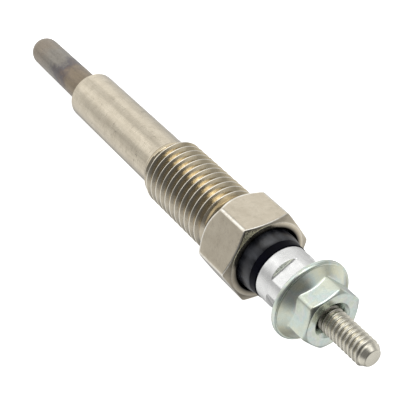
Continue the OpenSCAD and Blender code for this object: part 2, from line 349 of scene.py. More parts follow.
@dataclass(frozen=True)
class ThreadRidge:
    """Right-handed ridge of a thread, from its sunk foot over the crest to the other foot."""

    pitch: float
    crest_r: float
    root_r: float
    from_at: float
    to_at: float
    crest_at: float
    steps: int = 96
    sink: float = 0.12
    crest_flat: float = 0.1
    crest_ease: float = 0.04
    root_ease: float = 0.09

    def section(self) -> np.ndarray:
        """Section of the ridge: heights over the root and offsets along the axis.

        The flanks lean 30 degrees each way from a crest that is a share of the pitch wide, and
        parabolas ease the crest and the root.

        Returns:
            Points of the section from the tip side over the crest to the terminal side.
        """
        depth = self.crest_r - self.root_r
        half = 0.5 * self.crest_flat * self.pitch
        foot = half + depth * FLANK_SLOPE
        corners = (
            Corner(-self.sink, -foot - self.root_ease),
            Corner(0.0, -foot, self.root_ease),
            Corner(depth, -half, self.crest_ease),
            Corner(depth, half, self.crest_ease),
            Corner(0.0, foot, self.root_ease),
            Corner(-self.sink, foot + self.root_ease),
        )
        return Outline(corners, loop=False, ease_steps=3).rows()

    def surface(self, axis: PlugAxis, bound_at: list[float], bound_r: list[float]) -> Surface:
        """Carries the section along a helix and trims it to the turned outline.

        The middle of the ridge falls by one pitch for each turn of the angle, and no point stands
        further out than the bounding outline at its own station.

        Args:
            axis: axis of the plug.
            bound_at: stations of the bounding outline.
            bound_r: radii of the bounding outline.

        Returns:
            The closed ridge.
        """
        rings = int((self.to_at - self.from_at) / self.pitch * self.steps)
        middle = np.linspace(self.from_at, self.to_at, rings)[:, None]
        section = self.section()
        station = middle + section[None, :, 1]
        radius = np.minimum(self.root_r + section[None, :, 0], np.interp(station, bound_at, bound_r))
        angle = -(middle - self.crest_at) / self.pitch * TURN
        points = axis.place(radius, station, angle).reshape(-1, 3)
        return Surface(points, net(rings, len(section), False), end_caps(rings, len(section)))


class NodePad:
    """Adds shader nodes to one material or world and joins them."""

    def __init__(
        self, owner: bpy.types.Material | bpy.types.World, shader: str = "Principled BSDF"
    ) -> None:
        """Starts on the owner's own nodes, with the named shader at hand."""
        owner.use_nodes = True
        self.owner = owner
        self.tree = owner.node_tree
        self.shader = self.tree.nodes[shader]
        self.spaces: dict[tuple[PlugAxis, Colour], Socket] = {}

    @classmethod
    def of_material(cls, name: str) -> NodePad:
        """Starts a new material."""
        return cls(bpy.data.materials.new(name))

    def add(self, kind: str, inputs: dict[str, Value] | None = None, **settings: str) -> bpy.types.Node:
        """Adds one node.

        Args:
            kind: Blender's name for the node's type.
            inputs: value or socket for each named input.
            settings: properties of the node.

        Returns:
            The node.
        """
        node = self.tree.nodes.new(kind)
        for key, value in settings.items():
            setattr(node, key, value)
        for key, value in (inputs or {}).items():
            self.give(node.inputs[key], value)
        return node

    def give(self, socket: Socket, value: Value) -> None:
        """Sets an input to a value, or joins another node's output to it."""
        if isinstance(value, Socket):
            self.tree.links.new(value, socket)
        else:
            socket.default_value = value

    def coat(self, inputs: dict[str, Value]) -> None:
        """Gives each named input of the shader its value or socket."""
        for key, value in inputs.items():
            self.give(self.shader.inputs[key], value)

    def plug_space(self, axis: PlugAxis, stretch: Colour = EVEN) -> Socket:
        """Object coordinates turned to the plug: station, side and rise in millimetres.

        Args:
            axis: axis of the plug.
            stretch: factor for each of the three.

        Returns:
            The vector's socket, which is made once for each stretch.
        """
        if (axis, stretch) in self.spaces:
            return self.spaces[axis, stretch]
        if stretch != EVEN:
            inputs = {"Vector": self.plug_space(axis), "Scale": stretch}
        else:
            turn, lift = math.cos(axis.tilt), math.sin(axis.tilt)
            shift_x = -axis.start_x * turn - axis.start_z * lift
            shift_z = axis.start_x * lift - axis.start_z * turn
            inputs = {
                "Vector": self.add("ShaderNodeTexCoord").outputs["Object"],
                "Location": (shift_x, 0.0, shift_z),
                "Rotation": (0.0, axis.tilt, 0.0),
                "Scale": (1.0 / MM,) * 3,
            }
        self.spaces[axis, stretch] = self.add("ShaderNodeMapping", inputs).outputs["Vector"]
        return self.spaces[axis, stretch]

    def noise(self, vector: Socket, scale: float, detail: float = 3.0) -> Socket:
        """Returns the factor of a noise of that scale."""
        inputs = {"Vector": vector, "Scale": scale, "Detail": detail, "Roughness": NOISE_ROUGHNESS}
        return self.add("ShaderNodeTexNoise", inputs).outputs[0]

    def span(
        self, value: Socket, low: float, high: float, to_low: float = 0.0, to_high: float = 1.0
    ) -> Socket:
        """Maps a range of values onto another one, held at its ends."""
        inputs = {"Value": value, "From Min": low, "From Max": high, "To Min": to_low, "To Max": to_high}
        return self.add("ShaderNodeMapRange", inputs).outputs[0]

    def join(self, operation: str, a: Socket, b: Value) -> Socket:
        """Joins two values by an operation.

        Args:
            operation: Blender's name for the operation.
            a: socket of the first value.
            b: the second value or its socket.

        Returns:
            The result's socket.
        """
        node = self.add("ShaderNodeMath", operation=operation)
        self.give(node.inputs[0], a)
        self.give(node.inputs[1], b)
        return node.outputs[0]

    def plus(self, a: Socket, b: Value) -> Socket:
        """Returns the sum of two values."""
        return self.join("ADD", a, b)

    def less(self, a: Socket, b: Value) -> Socket:
        """Returns one value less another."""
        return self.join("SUBTRACT", a, b)

    def times(self, a: Socket, b: Value) -> Socket:
        """Returns the product of two values."""
        return self.join("MULTIPLY", a, b)

    def tint(self, factor: Value, a: Value, b: Value, blend: str = "MIX") -> Socket:
        """Mixes two colours by a factor.

        Args:
            factor: the factor or its socket.
            a: colour or socket where the factor is 0.
            b: colour or socket where the factor is 1.
            blend: Blender's name for the way of mixing.

        Returns:
            The mixed colour's socket.
        """
        node = self.add("ShaderNodeMix", data_type="RGBA", blend_type=blend)
        self.give(node.inputs[0], factor)
        for socket, colour in ((node.inputs[6], a), (node.inputs[7], b)):
            self.give(socket, (*colour, 1.0) if isinstance(colour, tuple) else colour)
        return node.outputs[2]

    def ramp(self, factor: Socket, places: Iterable[float], colours: tuple[Colour, ...]) -> Socket:
        """Colours a factor by a ramp.

        Args:
            factor: socket of the factor.
            places: factor at each stop.
            colours: colour of each stop.

        Returns:
            The colour's socket.
        """
        node = self.add("ShaderNodeValToRGB", {"Fac": factor})
        elements = node.color_ramp.elements
        while len(elements) < len(colours):
            elements.new(0.5)
        for element, place, colour in zip(elements, places, colours):
            element.position = place
            element.color = (*colour, 1.0)
        return node.outputs["Color"]

    def relief(self, height: Socket, depth: float, under: Socket | None = None) -> Socket:
        """Turns a height into a bump.

        Args:
            height: socket of the height, 0 to 1.
            depth: depth in millimetres.
            under: normal of a relief below this one.

        Returns:
            The normal's socket.
        """
        node = self.add("ShaderNodeBump", {"Height": height, "Distance": depth * MM, "Strength": 1.0})
        if under is not None:
            self.give(node.inputs["Normal"], under)
        return node.outputs["Normal"]


class Place(NamedTuple):
    """Sockets of a point's place: along the plug, to its +Y side, up, and out from its axis."""

    station: Socket
    side: Socket
    rise: Socket
    radius: Socket

    @classmethod
    def on(cls, pad: NodePad, axis: PlugAxis) -> Place:
        """Reads the place from the object's coordinates.

        Args:
            pad: node pad of the material.
            axis: axis of the plug.

        Returns:
            The place in millimetres.
        """
        parts = pad.add("ShaderNodeSeparateXYZ", {"Vector": pad.plug_space(axis)}).outputs
        across = {"Vector": pad.plug_space(axis, (0.0, 1.0, 1.0))}
        radius = pad.add("ShaderNodeVectorMath", across, operation="LENGTH").outputs["Value"]
        return cls(parts["X"], parts["Y"], parts["Z"], radius)


class Patches(NamedTuple):
    """Patches of noise: its scale and detail, the range that it is cut to, and its stretch."""

    scale: float
    detail: float
    low: float
    high: float
    stretch: Colour = EVEN

    def lay(self, pad: NodePad, axis: PlugAxis, to_low: float = 0.0, to_high: float = 1.0) -> Socket:
        """Returns a factor that goes from one value to the other over the patches."""
        noise = pad.noise(pad.plug_space(axis, self.stretch), self.scale, self.detail)
        return pad.span(noise, self.low, self.high, to_low, to_high)


FILM_WANDER = Patches(0.42, 2.0, 0.36, 0.64)
DRIFT_WANDER = Patches(0.35, 3.0, 0.4, 0.6)
DRAWN_STREAKS = Patches(1.0, 4.0, 0.45, 0.75, (0.12, 1.9, 1.9))
SCRATCH_BREAKS = Patches(0.5, 3.0, 0.5, 0.58)
SCRATCH_STRETCH = (0.8, 0.16, 0.16)
SCRATCH_WIDTH = 0.012
MOTTLE = Patches(1.1, 7.0, 0.5, 0.68)
SPECKS = Patches(2.6, 6.0, 0.64, 0.74)
CHIPS = Patches(0.9, 4.0, 0.36, 0.56)
HEAT_WAVER = Patches(0.45, 4.0, 0.25, 0.75)
HEAT_STREAKS = Patches(1.0, 4.0, 0.35, 0.7, (0.12, 2.2, 2.2))
RUBBER_BLOOM_AND_SHEEN = Patches(1.0, 5.0, 0.42, 0.68, (0.25, 0.8, 0.8))
GRAIN_RANGE = (0.3, 0.7)
# Near-black of the painted shade and dirt where pieces meet.
SHADE_AND_DIRT = (0.012, 0.011, 0.011)
NO_END = (100.0, 101.0)


class ShadeAndGrime(NamedTuple):
    """Painted shade where two pieces meet, and dirt, with the ranges over which it comes in and fades."""

    strength: float
    near_r: Range
    from_at: Range
    to_at: Range = NO_END
    to_side: Range = NO_END

    def cover(self, pad: NodePad, place: Place, colour: Socket) -> Socket:
        """Lays the painted shade and dirt over a colour.

        Args:
            pad: node pad of the material.
            place: sockets of the place.
            colour: socket of the colour without them.

        Returns:
            The darkened colour's socket.
        """
        # Painted shade: darker near the given radii and past the given station, where one piece shades the
        # next.
        near = pad.span(place.radius, *self.near_r, self.strength, 0.0)
        near = pad.times(near, pad.span(place.side, *self.to_side, 1.0, 0.0))
        along = pad.span(place.station, *self.from_at)
        along = pad.times(along, pad.span(place.station, *self.to_at, 1.0, 0.0))
        return pad.tint(pad.times(near, along), colour, SHADE_AND_DIRT)


class TurnedCone(NamedTuple):
    """Cone that the flats of a hexagon cut: its radius at a station, and its slope."""

    radius: float
    at: float
    slope: float
    reach: Range = (-1.0, 3.0)

    def radius_at(self, pad: NodePad, station: Socket) -> Socket:
        """Returns the cone's radius at a station within its reach."""
        stations = (self.at + step for step in self.reach)
        radii = (self.radius + step * self.slope for step in self.reach)
        return pad.span(station, *stations, *radii)


class EdgeWearAndHighlight(NamedTuple):
    """Bright wear and painted highlight along the edges of a hexagon between two turned cones."""

    colour: Colour
    cones: tuple[TurnedCone, ...]
    corner_r: Range
    from_at: Range
    from_r: Range
    corner_strength: float = 0.8
    least: float = 0.35
    line_start: Range = (0.015, 0.05)
    line_end: Range = (0.12, 0.3)

    def cover(self, pad: NodePad, axis: PlugAxis, place: Place, colour: Socket) -> Socket:
        """Lays the wear and painted highlight over a colour.

        A cone's radius at a station less the point's own radius is how far a flat has cut below the
        cone. It is small only beside the edge that the two share.

        Args:
            pad: node pad of the material.
            axis: axis of the plug.
            place: sockets of the place.
            colour: socket of the colour without them.

        Returns:
            Socket of the colour with the wear and painted highlight.
        """
        # Painted highlight, with wear, along the corners and along the edges that the flats share with the
        # cones.
        worn = pad.span(place.radius, *self.corner_r, 0.0, self.corner_strength)
        for cone in self.cones:
            cut = pad.less(cone.radius_at(pad, place.station), place.radius)
            line = pad.times(pad.span(cut, *self.line_start), pad.span(cut, *self.line_end, 1.0, 0.0))
            worn = pad.join("MAXIMUM", worn, line)
        outside = pad.times(pad.span(place.station, *self.from_at), pad.span(place.radius, *self.from_r))
        worn = pad.times(pad.times(worn, outside), CHIPS.lay(pad, axis, self.least, 1.0))
        return pad.tint(worn, colour, self.colour)


class RolledThread(NamedTuple):
    """Finish of a thread: yellowed towards one side, with painted shade on its underside and in its roots,
    and bright on its crests.
    """

    roughness: float
    from_at: Range
    to_at: Range
    yellowed: Colour
    yellow_side: Range
    underside_shade: Colour
    underside_rise: Range
    root_shade_r: Range
    root_shade_least: float
    crest: Colour
    crest_r: Range

    def plain(self, pad: NodePad, station: Socket) -> Socket:
        """Returns a factor that is 0 on the thread and 1 before and after it."""
        before = pad.span(station, *self.from_at, 1.0, 0.0)
        return pad.plus(before, pad.span(station, *self.to_at))

    def cover(self, pad: NodePad, place: Place, plain: Socket, colour: Socket) -> Socket:
        """Lays the thread's colours over the plain one.

        Args:
            pad: node pad of the material.
            place: sockets of the place.
            plain: factor of the metal outside the thread.
            colour: socket of the plain colour.

        Returns:
            Socket of the thread's colour.
        """
        yellow = pad.less(pad.span(place.side, *self.yellow_side), plain)
        colour = pad.tint(yellow, colour, self.yellowed, "MULTIPLY")
        # Painted shade: darker on the thread's underside, most in its roots.
        under = pad.less(pad.span(place.rise, *self.underside_rise), plain)
        under = pad.times(under, pad.span(place.radius, *self.root_shade_r, 1.0, self.root_shade_least))
        colour = pad.tint(under, colour, self.underside_shade, "MULTIPLY")
        worn = pad.less(pad.span(place.radius, *self.crest_r), plain)
        return pad.tint(worn, colour, self.crest)


@dataclass(frozen=True)
class PlatedFinish:
    """Turned and plated metal: stains, streaks along the axis, scratches round it, specks, wear with
    painted edge highlights, and painted shade where pieces meet.
    """

    name: str
    bright: Colour
    stain: Colour
    roughness: float
    rough_spread: float
    mark_depth: float
    mark_scale: float
    scuff: float
    shade_share: float = 0.72
    dark_share: float = 0.35
    passivate: tuple[Colour, ...] = ()
    drift: Colour | None = None
    drift_least: float = 0.25
    drift_from_r: Range = (4.2, 4.7)
    drift_to_r: Range = (5.4, 5.6)
    drift_rim: float = 0.3
    cloud_scale: float = 0.45
    grain_scale: float = 5.0
    grain_depth: float = 0.002
    mark_turn: float = 0.06
    turned_r: Range = (4.0, 4.1)
    streak: float = 0.0
    streak_beyond: float = 0.2
    scratch: float = 0.0
    mottle: float = 0.0
    thread: RolledThread | None = None
    # Painted highlight, with wear, along edges.
    edge_wear_and_highlight: EdgeWearAndHighlight | None = None
    # Painted shade where pieces meet, and dirt.
    shade_and_grime: tuple[ShadeAndGrime, ...] = ()
    edge: Colour = (0.87, 0.87, 0.87)

    def film(self, pad: NodePad, axis: PlugAxis, radius: Socket, colour: Socket) -> Socket:
        """Tints of a passivate: pale colours that wander, and a deeper one on the flange.

        Args:
            pad: node pad of the material.
            axis: axis of the plug.
            radius: socket of the distance from the axis.
            colour: socket of the bare colour.

        Returns:
            The tinted colour's socket.
        """
        if self.passivate:
            places = np.linspace(0.0, 1.0, len(self.passivate)).tolist()
            tints = pad.ramp(FILM_WANDER.lay(pad, axis), places, self.passivate)
            colour = pad.tint(1.0, colour, tints, "MULTIPLY")
        if self.drift is not None:
            wander = DRIFT_WANDER.lay(pad, axis, self.drift_least, 1.0)
            outer = pad.span(radius, *self.drift_from_r, self.drift_least, 1.0)
            outer = pad.times(outer, pad.span(radius, *self.drift_to_r, 1.0, self.drift_rim))
            colour = pad.tint(pad.times(wander, outer), colour, self.drift)
        return colour

    def colour(self, pad: NodePad, axis: PlugAxis, radius: Socket) -> Socket:
        """Colour before wear: stains, a passivate's tints, streaks, scratches, mottle and specks.

        Args:
            pad: node pad of the material.
            axis: axis of the plug.
            radius: socket of the distance from the axis.

        Returns:
            The colour's socket.
        """
        cloud = Patches(self.cloud_scale, detail=5.0, low=0.35, high=0.7).lay(pad, axis)
        colour = self.film(pad, axis, radius, pad.tint(cloud, self.bright, self.stain))
        shade = tuple(self.shade_share * c for c in self.stain)
        dark = tuple(self.dark_share * c for c in self.stain)
        if self.streak > 0.0:
            streaks = DRAWN_STREAKS.lay(pad, axis, 0.0, self.streak)
            streaks = pad.times(streaks, pad.span(radius, *self.turned_r, 1.0, self.streak_beyond))
            colour = pad.tint(streaks, colour, shade)
        if self.scratch > 0.0:
            level = pad.noise(pad.plug_space(axis, SCRATCH_STRETCH), 1.0)
            off = pad.join("ABSOLUTE", pad.less(level, 0.5), 0.0)
            line = pad.span(off, 0.0, SCRATCH_WIDTH, self.scratch, 0.0)
            line = pad.times(line, pad.span(radius, *self.turned_r, 1.0, 0.0))
            colour = pad.tint(pad.times(line, SCRATCH_BREAKS.lay(pad, axis)), colour, dark)
        if self.mottle > 0.0:
            colour = pad.tint(MOTTLE.lay(pad, axis, 0.0, self.mottle), colour, shade)
        return pad.tint(SPECKS.lay(pad, axis, 0.0, self.scuff), colour, dark)

    def material(self, axis: PlugAxis) -> bpy.types.Material:
        """Makes the material.

        Args:
            axis: axis of the plug, which the turning marks run round.

        Returns:
            The material.
        """
        pad = NodePad.of_material(self.name)
        place = Place.on(pad, axis)
        colour = self.colour(pad, axis, place.radius)
        grain = pad.noise(pad.plug_space(axis), self.grain_scale, 4.0)
        low, high = self.roughness - self.rough_spread, self.roughness + self.rough_spread
        rough = pad.span(grain, *GRAIN_RANGE, low, high)
        if self.thread is not None:
            plain = self.thread.plain(pad, place.station)
            smoother = pad.span(plain, 0.0, 1.0, self.thread.roughness / self.roughness, 1.0)
            rough = pad.times(smoother, rough)
            colour = self.thread.cover(pad, place, plain, colour)
        # Painted highlight, with wear, along the hexagon's edges.
        if self.edge_wear_and_highlight is not None:
            colour = self.edge_wear_and_highlight.cover(pad, axis, place, colour)
        # Painted shade where this piece meets the next, and dirt.
        for darkening in self.shade_and_grime:
            colour = darkening.cover(pad, place, colour)
        marks = pad.noise(pad.plug_space(axis, (self.mark_scale, self.mark_turn, self.mark_turn)), 1.0, 4.0)
        pits = pad.relief(grain, self.grain_depth)
        pad.coat(
            {
                "Base Color": colour,
                "Metallic": 1.0,
                "Roughness": rough,
                "Specular Tint": (*self.edge, 1.0),
                "Normal": pad.relief(marks, self.mark_depth, pits),
            }
        )
        return pad.owner


@dataclass(frozen=True)
class HeatTint:
    """Ground sheath with the colours that heat leaves on it, placed by their share of its length."""

    name: str = "heat_tinted_sheath"
    tip_at: float = -19.0
    rim_at: float = 0.0
    waver: float = 2.6
    places: tuple[float, ...] = (0.0, 0.22, 0.42, 0.49, 0.59, 0.65, 0.76, 1.0)
    tip: Colour = (0.335, 0.288, 0.225)
    taupe: Colour = (0.35, 0.30, 0.24)
    grey: Colour = (0.33, 0.308, 0.268)
    blue: Colour = (0.165, 0.155, 0.165)
    plum: Colour = (0.215, 0.175, 0.157)
    tan: Colour = (0.335, 0.27, 0.193)
    brown: Colour = (0.30, 0.24, 0.168)
    streak: float = 0.36
    streak_colour: Colour = (0.16, 0.14, 0.125)
    soot: float = 0.45
    soot_range: Range = (0.48, 0.72)
    soot_colour: Colour = (0.15, 0.13, 0.115)
    grain_scale: float = 4.0
    grain_depth: float = 0.01
    roughness: Range = (0.26, 0.42)

    def material(self, axis: PlugAxis) -> bpy.types.Material:
        """Makes the material: bands by station with wavering edges, under lengthwise streaks.

        Args:
            axis: axis of the plug.

        Returns:
            The material.
        """
        pad = NodePad.of_material(self.name)
        space = pad.plug_space(axis)
        station = pad.add("ShaderNodeSeparateXYZ", {"Vector": space}).outputs["X"]
        waver = HEAT_WAVER.lay(pad, axis, -self.waver, self.waver)
        along = pad.span(pad.plus(station, waver), self.tip_at, self.rim_at)
        tints = (self.tip, self.taupe, self.grey, self.grey, self.blue, self.plum, self.tan, self.brown)
        bands = pad.ramp(along, self.places, tints)
        streaks = HEAT_STREAKS.lay(pad, axis, 0.0, self.streak)
        colour = pad.tint(streaks, bands, self.streak_colour)
        grain = pad.noise(space, self.grain_scale, 5.0)
        colour = pad.tint(pad.span(grain, *self.soot_range, 0.0, self.soot), colour, self.soot_colour)
        pad.coat(
            {
                "Base Color": colour,
                "Metallic": 1.0,
                "Roughness": pad.span(grain, *GRAIN_RANGE, *self.roughness),
                "Normal": pad.relief(grain, self.grain_depth),
            }
        )
        return pad.owner


@dataclass(frozen=True)
class BlackFinish:
    """Black rubber or moulded insulator with a faint bloom and painted sheen in lighter patches."""

    name: str
    deep: Colour
    bloom_and_sheen: Colour
    roughness: Range
    grain_depth: float
    gloss: float
    grain_scale: float = 9.0

    def material(self, axis: PlugAxis) -> bpy.types.Material:
        """Makes the material.

        Args:
            axis: axis of the plug.

        Returns:
            The material.
        """
        pad = NodePad.of_material(self.name)
        # Lighter patches along the axis: bloom, and painted sheen.
        cloud = RUBBER_BLOOM_AND_SHEEN.lay(pad, axis)
        grain = pad.noise(pad.plug_space(axis), self.grain_scale)
        pad.coat(
            {
                "Base Color": pad.tint(cloud, self.deep, self.bloom_and_sheen),
                "Specular IOR Level": self.gloss,
                "Roughness": pad.span(cloud, 0.0, 1.0, *self.roughness),
                "Normal": pad.relief(grain, self.grain_depth),
            }
        )
        return pad.owner


@dataclass(frozen=True)
class InnerFinish:
    """Wire or powder inside the tube: one colour with a fine grain."""

    name: str
    light: Colour
    dark: Colour
    metallic: float
    roughness: Range
    grain_scale: float
    grain_depth: float = 0.02

    def material(self, axis: PlugAxis) -> bpy.types.Material:
        """Makes the material.

        Args:
            axis: axis of the plug.

        Returns:
            The material.
        """
        pad = NodePad.of_material(self.name)
        grain = pad.noise(pad.plug_space(axis), self.grain_scale, 4.0)
        pad.coat(
            {
                "Base Color": pad.tint(grain, self.light, self.dark),
                "Metallic": self.metallic,
                "Roughness": pad.span(grain, *GRAIN_RANGE, *self.roughness),
                "Normal": pad.relief(grain, self.grain_depth),
            }
        )
        return pad.owner


Finish = Union[PlatedFinish, HeatTint, BlackFinish, InnerFinish]

NICKEL = PlatedFinish(
    name="satin_nickel",
    bright=(0.735, 0.662, 0.53),
    stain=(0.635, 0.565, 0.445),
    roughness=0.14,
    rough_spread=0.04,
    mark_depth=0.0010,
    mark_scale=7.0,
    scuff=0.42,
    cloud_scale=0.6,
    grain_scale=3.2,
    grain_depth=0.012,
    streak=0.42,
    scratch=0.6,
    mottle=0.32,
    thread=RolledThread(
        roughness=0.16,
        from_at=(22.8, 23.4),
        to_at=(39.4, 39.8),
        yellowed=(0.99, 0.955, 0.86),
        yellow_side=(-4.3, -2.0),
        # Painted shade under the thread, deepest in its roots.
        underside_shade=(0.48, 0.52, 0.60),
        underside_rise=(0.1, -1.8),
        root_shade_r=(4.35, 4.85),
        root_shade_least=0.3,
        crest=(0.93, 0.88, 0.765),
        crest_r=(4.89, 4.93),
    ),
    # Painted highlight, with wear, along the hexagon's corners and the edges at its shoulder and end face.
    edge_wear_and_highlight=EdgeWearAndHighlight(
        colour=(0.95, 0.925, 0.855),
        cones=(TurnedCone(5.0, 39.8, 0.889), TurnedCone(6.733, 47.2, -2.256)),
        corner_r=(6.63, 6.67),
        from_at=(39.8, 39.85),
        from_r=(5.5, 5.7),
    ),
    shade_and_grime=(
        # Painted shade in the seal's recess and round its rim.
        ShadeAndGrime(strength=1.0, near_r=(4.88, 5.42), from_at=(43.9, 44.2)),
        # Painted shade on the end face round the seal, darkest on the -Y side and fading towards +Y.
        ShadeAndGrime(strength=0.42, near_r=(5.45, 6.15), from_at=(47.3, 47.6), to_side=(0.0, 2.6)),
    ),
)
STUD_STEEL = PlatedFinish(
    name="plated_stud_steel",
    bright=(0.83, 0.795, 0.69),
    stain=(0.75, 0.715, 0.605),
    roughness=0.27,
    rough_spread=0.05,
    mark_depth=0.0008,
    mark_scale=9.0,
    scuff=0.3,
    # Painted shade at the foot of the stud beside the nut, fading along the stud.
    shade_and_grime=(ShadeAndGrime(strength=0.5, near_r=(1.9, 2.0), from_at=(59.2, 59.5), to_at=(61.1, 62.2)),),
)
ALUMINIUM = PlatedFinish(
    name="drawn_aluminium",
    bright=(0.92, 0.92, 0.905),
    stain=(0.80, 0.80, 0.79),
    roughness=0.27,
    rough_spread=0.04,
    mark_depth=0.0012,
    mark_scale=1.0,
    scuff=0.2,
    cloud_scale=0.9,
    grain_scale=1.2,
    grain_depth=0.004,
    streak=0.15,
)
ZINC = PlatedFinish(
    name="passivated_zinc",
    bright=(0.79, 0.83, 0.78),
    stain=(0.68, 0.75, 0.735),
    roughness=0.23,
    rough_spread=0.05,
    mark_depth=0.0008,
    mark_scale=1.5,
    scuff=0.2,
    passivate=(
        (0.99, 0.985, 0.89),
        (0.95, 1.0, 0.95),
        (0.90, 0.99, 1.0),
        (1.0, 0.975, 0.99),
        (0.98, 1.0, 0.91),
    ),
    drift=(0.82, 0.83, 0.65),
    grain_scale=2.5,
    grain_depth=0.006,
    streak=0.2,
    # Painted shade in the countersink round the stud.
    shade_and_grime=(ShadeAndGrime(strength=0.32, near_r=(1.75, 2.3), from_at=(59.5, 59.8)),),
)
SHEATH = HeatTint()
RUBBER = BlackFinish(
    name="black_rubber",
    deep=(0.005, 0.005, 0.008),
    # Bloom and painted sheen in lighter patches.
    bloom_and_sheen=(0.06, 0.064, 0.075),
    roughness=(0.32, 0.46),
    grain_depth=0.008,
    gloss=0.75,
)
BUSH = BlackFinish(
    name="black_insulator",
    deep=(0.001, 0.001, 0.004),
    bloom_and_sheen=(0.003, 0.003, 0.009),
    roughness=(0.36, 0.50),
    grain_depth=0.003,
    gloss=0.05,
)
WIRE = InnerFinish(
    name="drawn_wire",
    light=(0.60, 0.57, 0.52),
    dark=(0.42, 0.39, 0.34),
    metallic=1.0,
    roughness=(0.29, 0.41),
    grain_scale=6.0,
)
POWDER = InnerFinish(
    name="pressed_powder",
    light=(0.88, 0.86, 0.82),
    dark=(0.76, 0.73, 0.68),
    metallic=0.0,
    roughness=(0.84, 0.96),
    grain_scale=12.0,
)


@dataclass
class PieceMaker:
    """Puts finished surfaces into the scene on the part's one body."""

    axis: PlugAxis
    body: str = "root"

    def place(self, surface: Surface, node: str, finish: Finish, slot: Slot) -> bpy.types.Object:
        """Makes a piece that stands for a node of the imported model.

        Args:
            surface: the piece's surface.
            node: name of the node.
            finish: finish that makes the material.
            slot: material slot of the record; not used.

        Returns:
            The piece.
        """
        piece = surface.make(f"{node}_surface")
        piece.data.materials.append(finish.material(self.axis))
        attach(piece, self.body)
        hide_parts(node)
        mesh = piece.data
        LOG.info("%s: %d vertices, %d faces", piece.name, len(mesh.vertices), len(mesh.polygons))
        return piece


@dataclass
class GlowTube:
    """Closed sheath with a domed tip, from the tip to its mouth inside the body."""

    reach: float = 18.895
    tip_r: float = 2.35
    root_r: float = 2.45
    wall: float = 0.45
    mouth_at: float = 20.0
    dome_rows: int = 14
    pole_r: float = 0.03
    columns: int = 96

    def dome(self, radius: float, outward: bool) -> tuple[Corner, ...]:
        """Corners of a quarter circle about the dome's middle.

        Args:
            radius: radius of the dome.
            outward: from the pole to the rim, or back.

        Returns:
            The corners.
        """
        middle = self.tip_r - self.reach
        angles = np.linspace(math.acos(self.pole_r / radius), 0.0, self.dome_rows)
        angles = angles if outward else angles[::-1]
        return tuple(Corner(radius * math.cos(a), middle - radius * math.sin(a)) for a in angles)

    def build(self, maker: PieceMaker) -> None:
        """Builds and dresses the tube."""
        bore_r = self.root_r - self.wall
        shank = (
            Corner(self.root_r, 0.0),
            Corner(self.root_r, self.mouth_at),
            Corner(bore_r, self.mouth_at),
            Corner(bore_r, 0.0),
        )
        corners = self.dome(self.tip_r, True) + shank + self.dome(self.tip_r - self.wall, False)
        surface = revolve(maker.axis, Outline(corners, loop=False), round_angles(self.columns))
        maker.place(surface, "glow_tube", SHEATH, Slot.SHEATH)


